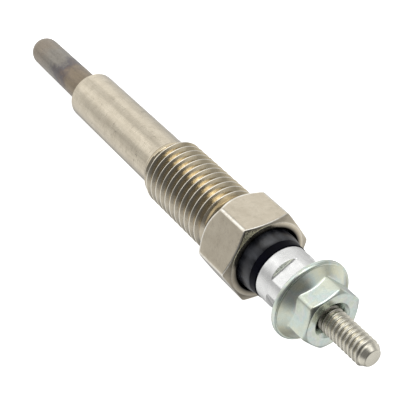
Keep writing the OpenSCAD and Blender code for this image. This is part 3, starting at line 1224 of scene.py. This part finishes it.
@dataclass
class Body:
    """Turned body with its seat, shank, thread, hexagon, bore and recess."""

    seat_at: float = -0.6
    nose_r: float = 2.8
    tube_r: float = 2.45
    tube_mouth_at: float = 20.0
    shank_r: float = 3.875
    shank_edge: float = 0.1
    thread_at: float = 22.8
    full_at: float = 24.6
    undercut_at: float = 38.7
    hex_at: float = 39.8
    crest_r: float = 4.95
    root_r: float = 4.3
    undercut_r: float = 4.35
    undercut_lead: float = 0.6
    pitch: float = 1.25
    crest_up_at: float = 26.12
    lead_sink: float = 0.08
    ridge_gap: float = 0.5
    fade_gap: float = 0.45
    fade_sink: float = 0.1
    shoulder_r: float = 5.0
    shoulder_end_at: float = 41.75
    hex_apothem: float = 5.9
    hex_corner_r: float = 6.733
    hex_ease_r: float = 0.5
    hex_corner_deg: float = 30.0
    face_at: float = 47.2
    bevel_r: float = 5.65
    bevel_at: float = 47.68
    end_at: float = 47.75
    recess_r: float = 4.85
    recess_at: float = 44.25
    bore_r: float = 2.8
    edge_blend: float = 0.11
    columns: int = 30

    def thread_middle(self) -> float:
        """Station of the middle of the full thread, where its mount is."""
        return 0.5 * (self.full_at + self.undercut_at)

    def flats(self, radius: np.ndarray, station: np.ndarray, angle: np.ndarray) -> np.ndarray:
        """Cuts the six flats: beyond the thread the radius is the smaller of turning and flat."""
        reach = flat_reach(self.hex_apothem, angle, self.hex_corner_deg, ease_r=self.hex_ease_r)
        cut = soft_min(radius, reach, self.edge_blend)
        return np.where(station < self.hex_at + HAIR, radius, cut)

    def outline(self) -> Outline:
        """Outline of the body with the thread's root in the place of its crests."""
        lead = (self.crest_r - self.shank_r) / (self.full_at - self.thread_at)
        root_at = self.thread_at + (self.root_r - self.shank_r) / lead
        return Outline(
            (
                Corner(self.tube_r, self.seat_at, 0.03),
                Corner(self.nose_r, self.seat_at, 0.05),
                Corner(self.shank_r - self.shank_edge, 0.0, 0.05),
                Corner(self.shank_r, self.shank_edge, 0.05),
                Corner(self.shank_r, self.thread_at, 0.15),
                Corner(self.root_r, root_at, 0.1),
                Corner(self.root_r, self.undercut_at, 0.1),
                Corner(self.undercut_r, self.undercut_at + self.undercut_lead, 0.1),
                Corner(self.undercut_r, self.hex_at, 0.08),
                Corner(self.shoulder_r, self.hex_at, 0.06, 0.045),
                Corner(self.hex_corner_r, self.shoulder_end_at, 0.1, 0.4),
                Corner(self.hex_corner_r, self.face_at, 0.1, 0.03),
                Corner(self.bevel_r, self.bevel_at, 0.12, 0.2),
                Corner(self.recess_r, self.end_at, 0.06, 0.5),
                Corner(self.recess_r, self.recess_at),
                Corner(self.bore_r, self.recess_at),
                Corner(self.bore_r, self.tube_mouth_at),
                Corner(self.tube_r, self.tube_mouth_at),
            )
        )

    def build(self, maker: PieceMaker) -> None:
        """Builds and dresses the body."""
        turned = revolve(
            maker.axis, self.outline(), hex_angles(self.hex_corner_deg, self.columns), self.flats
        )
        ridge = ThreadRidge(
            pitch=self.pitch,
            crest_r=self.crest_r,
            root_r=self.root_r,
            from_at=self.thread_at,
            to_at=self.hex_at - self.ridge_gap,
            crest_at=self.crest_up_at,
        )
        bound_at = [self.thread_at, self.full_at, self.undercut_at, self.hex_at - self.fade_gap]
        start_r, end_r = self.shank_r - self.lead_sink, self.undercut_r - self.fade_sink
        bound_r = [start_r, self.crest_r, self.crest_r, end_r]
        surface = turned.with_part(ridge.surface(maker.axis, bound_at, bound_r))
        maker.place(surface, "body", NICKEL, Slot.NICKEL)


@dataclass
class SealAndBush:
    """Rubber ring in the recess and the insulating bush whose flange covers it."""

    recess_at: float = 44.25
    rim_at: float = 47.75
    bush_at: float = 49.6
    collar_at: float = 50.8
    bead_r: float = 4.45
    bead_top_r: float = 4.1
    stem_r: float = 2.6
    flange_r: float = 4.15
    rod_r: float = 1.5
    bulge_rows: int = 13
    columns: int = 120

    def rubber(self) -> Outline:
        """Outline of the ring: its bulge is a quarter ellipse from the rim to the bush."""
        angles = np.linspace(0.0, 0.5 * math.pi, self.bulge_rows)
        bulge = tuple(
            Corner(
                self.bead_top_r + (self.bead_r - self.bead_top_r) * math.cos(a),
                self.rim_at + (self.bush_at - self.rim_at) * math.sin(a),
            )
            for a in angles
        )
        foot = (Corner(self.stem_r, self.recess_at), Corner(self.bead_r, self.recess_at, 0.1))
        return Outline(foot + bulge + (Corner(self.stem_r, self.bush_at),))

    def bush(self) -> Outline:
        """Outline of the bush with its stem and flange."""
        return Outline(
            (
                Corner(self.rod_r, self.recess_at),
                Corner(self.stem_r, self.recess_at),
                Corner(self.stem_r, self.bush_at),
                Corner(self.flange_r, self.bush_at, 0.08),
                Corner(self.flange_r, self.collar_at, 0.1),
                Corner(self.rod_r, self.collar_at),
            )
        )

    def build(self, maker: PieceMaker) -> None:
        """Builds and dresses both pieces."""
        angles = round_angles(self.columns)
        maker.place(revolve(maker.axis, self.rubber(), angles), "rubber_seal", RUBBER, Slot.RUBBER)
        maker.place(revolve(maker.axis, self.bush(), angles), "insulating_bush", BUSH, Slot.BUSH)


@dataclass
class CrimpCollar:
    """Aluminium sleeve, round at its back and pressed to four flats towards the nut."""

    from_at: float = 50.8
    crimp_at: float = 52.96
    crimp_lead: float = 0.06
    nut_at: float = 56.5
    outer_r: float = 4.05
    edge: float = 0.12
    bore_r: float = 1.62
    bore_wall: float = 1.0
    flats: int = 4
    crimp_depth: float = 0.56
    crimp_ramp: float = 0.48
    corner_deg: float = 109.0
    edge_blend: float = 0.05
    columns: int = 360

    def press(self, radius: np.ndarray, station: np.ndarray, angle: np.ndarray) -> np.ndarray:
        """Presses the flats in: the apothem falls with the cube of what is left of the ramp."""
        left = np.clip(1.0 - (station - self.crimp_at) / self.crimp_ramp, 0.0, 2.0)
        apothem = self.outer_r - self.crimp_depth * (1.0 - left**3)
        reach = flat_reach(apothem, angle, self.corner_deg, self.flats)
        pressed = soft_min(radius, reach, self.edge_blend)
        return np.where(radius > self.bore_r + self.bore_wall, pressed, radius)

    def build(self, maker: PieceMaker) -> None:
        """Builds and dresses the collar."""
        outline = Outline(
            (
                Corner(self.bore_r, self.from_at),
                Corner(self.outer_r - self.edge, self.from_at, 0.05),
                Corner(self.outer_r, self.from_at + self.edge, 0.06, 0.4),
                Corner(self.outer_r, self.crimp_at - self.crimp_lead, 0.0, 0.006),
                Corner(self.outer_r, self.crimp_at + self.crimp_lead, 0.0, 0.02),
                Corner(self.outer_r, self.crimp_at + self.crimp_ramp, 0.0, 0.4),
                Corner(self.outer_r, self.nut_at - self.edge, 0.06, 0.05),
                Corner(self.outer_r - self.edge, self.nut_at, 0.05),
                Corner(self.bore_r, self.nut_at),
            )
        )
        surface = revolve(maker.axis, outline, round_angles(self.columns), self.press)
        maker.place(surface, "crimp_collar", ALUMINIUM, Slot.ALUMINIUM)


@dataclass
class TerminalNut:
    """Hexagon nut with a coned flange and a countersunk end."""

    from_at: float = 56.5
    end_at: float = 61.3
    flange_r: float = 5.795
    rim_r: float = 0.4
    cone_end_at: float = 58.1
    apothem: float = 3.95
    corner_r: float = 4.501
    ease_r: float = 0.5
    chamfer: float = 0.35
    face_r: float = 3.895
    sink_r: float = 2.6
    bore_r: float = 1.62
    corner_deg: float = 135.0
    edge_blend: float = 0.16
    foot_blend: float = 0.1
    foot_len: float = 1.0
    flats_lead: float = 0.3
    sink_edge: float = 0.05
    rim_rows: int = 17
    rim_fullness: float = 0.6
    columns: int = 28

    def flats(self, radius: np.ndarray, station: np.ndarray, angle: np.ndarray) -> np.ndarray:
        """Cuts the flats above the flange, whose cone runs on inwards until it meets them."""
        cone_at = self.from_at + 2.0 * self.rim_r
        rim_top_r = self.flange_r - self.rim_r
        slope = (rim_top_r - self.corner_r) / (self.cone_end_at - cone_at)
        cone = rim_top_r - slope * (station - cone_at)
        reach = flat_reach(self.apothem, angle, self.corner_deg, ease_r=self.ease_r)
        reach = soft_min(radius, reach, self.edge_blend)
        shaped = soft_max(reach, cone, self.foot_blend)
        outside = (station > self.cone_end_at - self.flats_lead) & (radius > self.sink_r + self.sink_edge)
        return np.where(outside, shaped, radius)

    def build(self, maker: PieceMaker) -> None:
        """Builds and dresses the nut, the rim of its flange being half of a rounded square."""
        rim_top_r = self.flange_r - self.rim_r
        turn = np.linspace(-0.5 * math.pi, 0.5 * math.pi, self.rim_rows)
        out = np.clip(np.cos(turn), 0.0, 1.0) ** self.rim_fullness
        up = np.sign(turn) * np.abs(np.sin(turn)) ** self.rim_fullness
        rim = tuple(
            Corner(rim_top_r + self.rim_r * o, self.from_at + self.rim_r * (1.0 + u))
            for o, u in zip(out, up)
        )
        outline = Outline(
            (Corner(self.bore_r, self.from_at),)
            + rim[:-1]
            + (
                Corner(*rim[-1][:2], 0.0, 0.05),
                Corner(self.corner_r, self.cone_end_at, 0.0, 0.05),
                Corner(self.corner_r, self.cone_end_at + self.foot_len, 0.0, 0.3),
                Corner(self.corner_r, self.end_at - self.chamfer, 0.12, 0.03),
                Corner(self.face_r, self.end_at, 0.15, 0.3),
                Corner(self.sink_r, self.end_at, 0.06),
                Corner(self.bore_r, self.end_at - self.sink_r + self.bore_r),
            )
        )
        surface = revolve(maker.axis, outline, hex_angles(self.corner_deg, self.columns), self.flats)
        maker.place(surface, "terminal_nut", ZINC, Slot.ZINC)


@dataclass
class CentreRod:
    """Rod from the coils to the terminal, its outer end threaded."""

    from_at: float = -1.55
    collar_at: float = 50.8
    thread_from_at: float = 60.2
    cone_at: float = 67.9
    end_at: float = 68.9
    rod_r: float = 1.5
    neck_r: float = 1.62
    crest_r: float = 1.8
    root_r: float = 1.53
    end_r: float = 1.2
    end_sink: float = 0.1
    pole_r: float = 0.03
    neck_taper: float = 0.2
    ridge_gap: float = 0.45
    pitch: float = 0.7
    crest_up_at: float = 62.0
    columns: int = 72

    def build(self, maker: PieceMaker) -> None:
        """Builds and dresses the rod."""
        slope = (self.crest_r - self.end_r) / (self.end_at - self.cone_at)
        root_end_at = self.cone_at + (self.crest_r - self.root_r) / slope
        outline = Outline(
            (
                Corner(self.pole_r, self.from_at),
                Corner(self.rod_r, self.from_at),
                Corner(self.rod_r, self.collar_at),
                Corner(self.neck_r, self.collar_at),
                Corner(self.neck_r, self.thread_from_at - self.neck_taper),
                Corner(self.root_r, self.thread_from_at),
                Corner(self.root_r, root_end_at, 0.1),
                Corner(self.end_r, self.end_at, 0.12),
                Corner(self.pole_r, self.end_at),
            ),
            loop=False,
        )
        turned = revolve(maker.axis, outline, round_angles(self.columns))
        ridge = ThreadRidge(
            pitch=self.pitch,
            crest_r=self.crest_r,
            root_r=self.root_r,
            from_at=self.thread_from_at,
            to_at=self.end_at - self.ridge_gap,
            crest_at=self.crest_up_at,
            steps=72,
            crest_flat=0.24,
            crest_ease=0.11,
            root_ease=0.15,
        )
        bound_at = [self.cone_at, root_end_at, self.end_at]
        bound_r = [self.crest_r, self.root_r - HAIR, self.end_r - self.end_sink]
        surface = turned.with_part(ridge.surface(maker.axis, bound_at, bound_r))
        maker.place(surface, "centre_rod", STUD_STEEL, Slot.STUD)


@dataclass
class InnerPieces:
    """Coils, powder and rubber plug inside the tube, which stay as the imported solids."""

    def dress(self, nodes: dict[str, bpy.types.Object], axis: PlugAxis) -> None:
        """Gives each of them its finish.

        Args:
            nodes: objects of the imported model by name.
            axis: axis of the plug.
        """
        finishes = {
            "heating_coil": WIRE,
            "regulating_coil": WIRE,
            "magnesia_fill": POWDER,
            "tube_seal": RUBBER,
        }
        for node, finish in finishes.items():
            slots = nodes[node].data.materials
            slots.clear()
            slots.append(finish.material(axis))
            LOG.info("%s: dressed as %s", node, finish.name)


@dataclass(frozen=True)
class Panel:
    """Round soft panel of the light tent, or a gap in its light where the strength is negative."""

    towards: Colour
    inner_deg: float
    outer_deg: float
    strength: float

    def add(self, pad: NodePad, gaze: Socket) -> Socket:
        """Adds the panel to the room: full within the inner angle of its middle, none past the outer.

        Args:
            pad: node pad of the room.
            gaze: socket of the direction looked at.

        Returns:
            Socket of the panel's light in that direction.
        """
        dot = pad.add("ShaderNodeVectorMath", operation="DOT_PRODUCT")
        pad.give(dot.inputs[0], gaze)
        pad.give(dot.inputs[1], tuple(Vector(self.towards).normalized()))
        inputs = {
            "Value": dot.outputs["Value"],
            "From Min": math.cos(math.radians(self.outer_deg)),
            "From Max": math.cos(math.radians(self.inner_deg)),
            "To Max": self.strength,
        }
        return pad.add("ShaderNodeMapRange", inputs, interpolation_type="SMOOTHSTEP").outputs[0]


class Fade(Enum):
    """Changes of the tent's light: the axis of the frame, and where along it they start and end."""

    BACK = ("X", -0.35, -0.62)
    INTO_BACK = ("X", -0.3, -0.6)
    OFF_BACK = ("X", -0.6, -0.3)
    FAR_BACK = ("X", -0.72, -0.9)
    FAR_FRONT = ("X", 0.8, 1.0)
    LEFT = ("Y", -0.45, -0.7)
    RIGHT = ("Y", 0.0, 0.45)
    FAR_RIGHT = ("Y", 0.85, 1.0)
    DOWNWARDS = ("Z", 0.02, -0.36)
    LOW_BACK = ("X", 0.3, -0.3)
    LOW_INTO_BACK = ("X", 0.0, -0.4)
    LOW_OFF_BACK = ("X", -0.4, 0.2)
    LOW_FRONT = ("X", 0.68, 0.96)
    LOW_LEFT = ("Y", -0.25, -0.5)
    LOW_RIGHT = ("Y", 0.35, 0.7)
    BELOW_RIM = ("Z", -0.1, -0.4)
    UNDER = ("Z", -0.4, -0.68)
    UNDER_BACK = ("X", 0.6, 0.3)
    UNDER_RIGHT = ("Y", -0.3, 0.1)

    def lay(self, pad: NodePad, axes: Axes, to_start: float = 0.0, to_end: float = 1.0) -> Socket:
        """Returns a factor that goes from one value to the other along the fade."""
        along, start, end = self.value
        return pad.span(axes[along], start, end, to_start, to_end)


@dataclass
class Studio:
    """Pale floor, soft light and the camera at the photograph's angle."""

    aim: Colour = (0.00741, 0.00023, 0.00443)
    azimuth_deg: float = 56.19
    elevation_deg: float = 39.64
    roll_deg: float = 1.89
    distance: float = 0.15286
    focal_px: float = 1100.0
    frame_px: float = 410.0
    sensor: float = 36.0
    clip_start: float = 0.005
    floor_half: float = 4.0
    floor_glow: float = 0.95
    floor_light: Colour = (0.90, 0.90, 0.90)
    floor_shade: Colour = (0.88, 0.88, 0.88)
    floor_scale: float = 40.0
    floor_roughness: float = 0.9
    floor_gloss: float = 0.1
    front_light: float = 0.19
    back_light: float = 0.62
    back_left_dip: float = 0.06
    rim_light: float = 0.45
    right_light: float = 0.2
    far_right_light: float = 0.5
    far_front_share: float = 0.25
    low_front_light: float = 0.5
    low_back_light: float = 0.88
    low_right_light: float = 0.37
    low_left_light: float = 0.25
    low_rim_share: float = 0.5
    low_far_front_share: float = 0.1
    under_dip: float = 0.42
    low_back_right_dip: float = 0.2
    panels: tuple[Panel, ...] = (
        Panel((-0.31, -0.09, 0.95), 7.0, 15.0, 1.7),
        Panel((-0.28, 0.17, 0.945), 7.0, 15.0, 1.7),
        Panel((-0.27, 0.45, 0.85), 4.0, 9.0, 1.3),
        Panel((-0.56, 0.08, 0.82), 4.0, 13.0, 0.26),
        Panel((-0.64, -0.24, 0.73), 5.0, 14.0, 0.56),
        Panel((-0.64, -0.53, 0.55), 6.0, 22.0, 0.4),
        Panel((-0.64, 0.46, 0.61), 9.0, 27.0, 0.28),
        Panel((-0.68, 0.71, 0.16), 7.0, 22.0, 0.13),
        Panel((-0.705, 0.215, 0.676), 2.0, 7.5, -0.28),
        Panel((0.60, 0.45, 0.66), 10.0, 30.0, 0.3),
        Panel((0.28, 0.22, 0.93), 12.0, 28.0, 0.8),
    )

    def camera(self) -> None:
        """Makes the camera: it looks along the azimuth and elevation, rolled about that line."""
        a, e = math.radians(self.azimuth_deg), math.radians(self.elevation_deg)
        back = Vector((math.sin(a) * math.cos(e), -math.cos(a) * math.cos(e), math.sin(e)))
        level = Vector((0.0, 0.0, 1.0)).cross(back).normalized()
        right = Matrix.Rotation(math.radians(self.roll_deg), 3, back) @ level
        up = back.cross(right)
        turn = Matrix((right, up, back)).transposed()
        data = bpy.data.cameras.new("camera")
        data.sensor_width = self.sensor
        data.lens = self.sensor * self.focal_px / self.frame_px
        data.clip_start = self.clip_start
        camera = bpy.data.objects.new("camera", data)
        camera.matrix_world = Matrix.Translation(Vector(self.aim) + self.distance * back) @ turn.to_4x4()
        bpy.context.scene.collection.objects.link(camera)
        bpy.context.scene.camera = camera

    def floor(self) -> None:
        """Lays the pale floor, a flat grid of two rows and columns."""
        side = np.array([-self.floor_half, self.floor_half])
        y, x = np.meshgrid(side, side, indexing="ij")
        points = np.stack([x, y, np.zeros_like(x)], axis=-1).reshape(-1, 3)
        mesh = bpy.data.meshes.new("floor")
        mesh.from_pydata(points.tolist(), [], [[0, 1, 3, 2]])
        floor = bpy.data.objects.new("floor", mesh)
        bpy.context.scene.collection.objects.link(floor)
        pad = NodePad.of_material("pale_floor")
        grain = pad.noise(pad.add("ShaderNodeTexCoord").outputs["Object"], self.floor_scale, 2.0)
        pad.coat(
            {
                "Base Color": pad.tint(grain, self.floor_light, self.floor_shade),
                "Emission Color": WHITE,
                "Emission Strength": self.floor_glow,
                "Roughness": self.floor_roughness,
                "Specular IOR Level": self.floor_gloss,
            }
        )
        mesh.materials.append(pad.owner)
        floor.visible_glossy = False
        floor.visible_shadow = False

    def light(self) -> None:
        """Sets the light of the tent: pale behind the plug and to its right, dim in front.

        The lower half is what the metal mirrors in the place of the floor: bright behind, dimmer towards
        the front and dark at the front's horizon.
        """
        world = bpy.data.worlds.new("tent")
        pad = NodePad(world, "Background")
        gaze = pad.add("ShaderNodeTexCoord").outputs["Generated"]
        axes = pad.add("ShaderNodeSeparateXYZ", {"Vector": gaze}).outputs
        upper, lower = self.upper_light(pad, axes), self.lower_light(pad, axes)
        total = pad.plus(upper, pad.times(pad.less(lower, upper), Fade.DOWNWARDS.lay(pad, axes)))
        for panel in self.panels:
            total = pad.plus(total, panel.add(pad, gaze))
        pad.coat({"Strength": total, "Color": WHITE})
        bpy.context.scene.world = world

    def upper_light(self, pad: NodePad, axes: Axes) -> Socket:
        """Light of the tent's upper half.

        Args:
            pad: node pad of the room.
            axes: sockets of the direction looked at, by axis.

        Returns:
            Socket of the light.
        """
        right = Fade.RIGHT.lay(pad, axes, 0.0, self.right_light)
        right = pad.plus(right, Fade.FAR_RIGHT.lay(pad, axes, 0.0, self.far_right_light))
        light = Fade.BACK.lay(pad, axes, self.front_light, self.back_light)
        light = pad.plus(light, pad.times(right, Fade.OFF_BACK.lay(pad, axes)))
        dip = Fade.LEFT.lay(pad, axes, 0.0, self.back_left_dip)
        light = pad.less(light, pad.times(dip, Fade.INTO_BACK.lay(pad, axes)))
        light = pad.times(light, Fade.FAR_FRONT.lay(pad, axes, 1.0, self.far_front_share))
        return pad.plus(light, Fade.FAR_BACK.lay(pad, axes, 0.0, self.rim_light))

    def lower_light(self, pad: NodePad, axes: Axes) -> Socket:
        """Light of the tent's lower half.

        Args:
            pad: node pad of the room.
            axes: sockets of the direction looked at, by axis.

        Returns:
            Socket of the light.
        """
        light = Fade.LOW_BACK.lay(pad, axes, self.low_front_light, self.low_back_light)
        right = Fade.RIGHT.lay(pad, axes, 0.0, self.low_right_light)
        right = pad.times(right, Fade.BELOW_RIM.lay(pad, axes, self.low_rim_share, 1.0))
        sides = pad.plus(right, Fade.LOW_LEFT.lay(pad, axes, 0.0, self.low_left_light))
        light = pad.plus(light, pad.times(sides, Fade.LOW_OFF_BACK.lay(pad, axes)))
        light = pad.times(light, Fade.LOW_FRONT.lay(pad, axes, 1.0, self.low_far_front_share))
        under = Fade.UNDER_RIGHT.lay(pad, axes, 0.0, self.under_dip)
        under = pad.times(under, Fade.UNDER.lay(pad, axes))
        light = pad.less(light, pad.times(under, Fade.UNDER_BACK.lay(pad, axes)))
        dip = Fade.LOW_RIGHT.lay(pad, axes, 0.0, self.low_back_right_dip)
        return pad.less(light, pad.times(dip, Fade.LOW_INTO_BACK.lay(pad, axes)))

    def build(self) -> None:
        """Sets up the whole studio."""
        bpy.context.scene.view_settings.view_transform = "Standard"
        self.floor()
        self.light()
        self.camera()


def main() -> None:
    """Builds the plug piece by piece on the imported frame, and the studio round it."""
    logging.basicConfig(level=logging.INFO, format="%(name)s: %(message)s")
    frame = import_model()
    body = Body()
    mount = next(m for m in frame["record"]["mounts"] if m["name"] == "body_thread")
    maker = PieceMaker(PlugAxis.from_mount(mount, body.thread_middle()))
    for piece in (GlowTube(), body, SealAndBush(), CrimpCollar(), TerminalNut(), CentreRod()):
        piece.build(maker)
    InnerPieces().dress(frame["nodes"], maker.axis)
    Studio().build()
    bpy.context.view_layer.update()


if __name__ == "__main__":
    main()
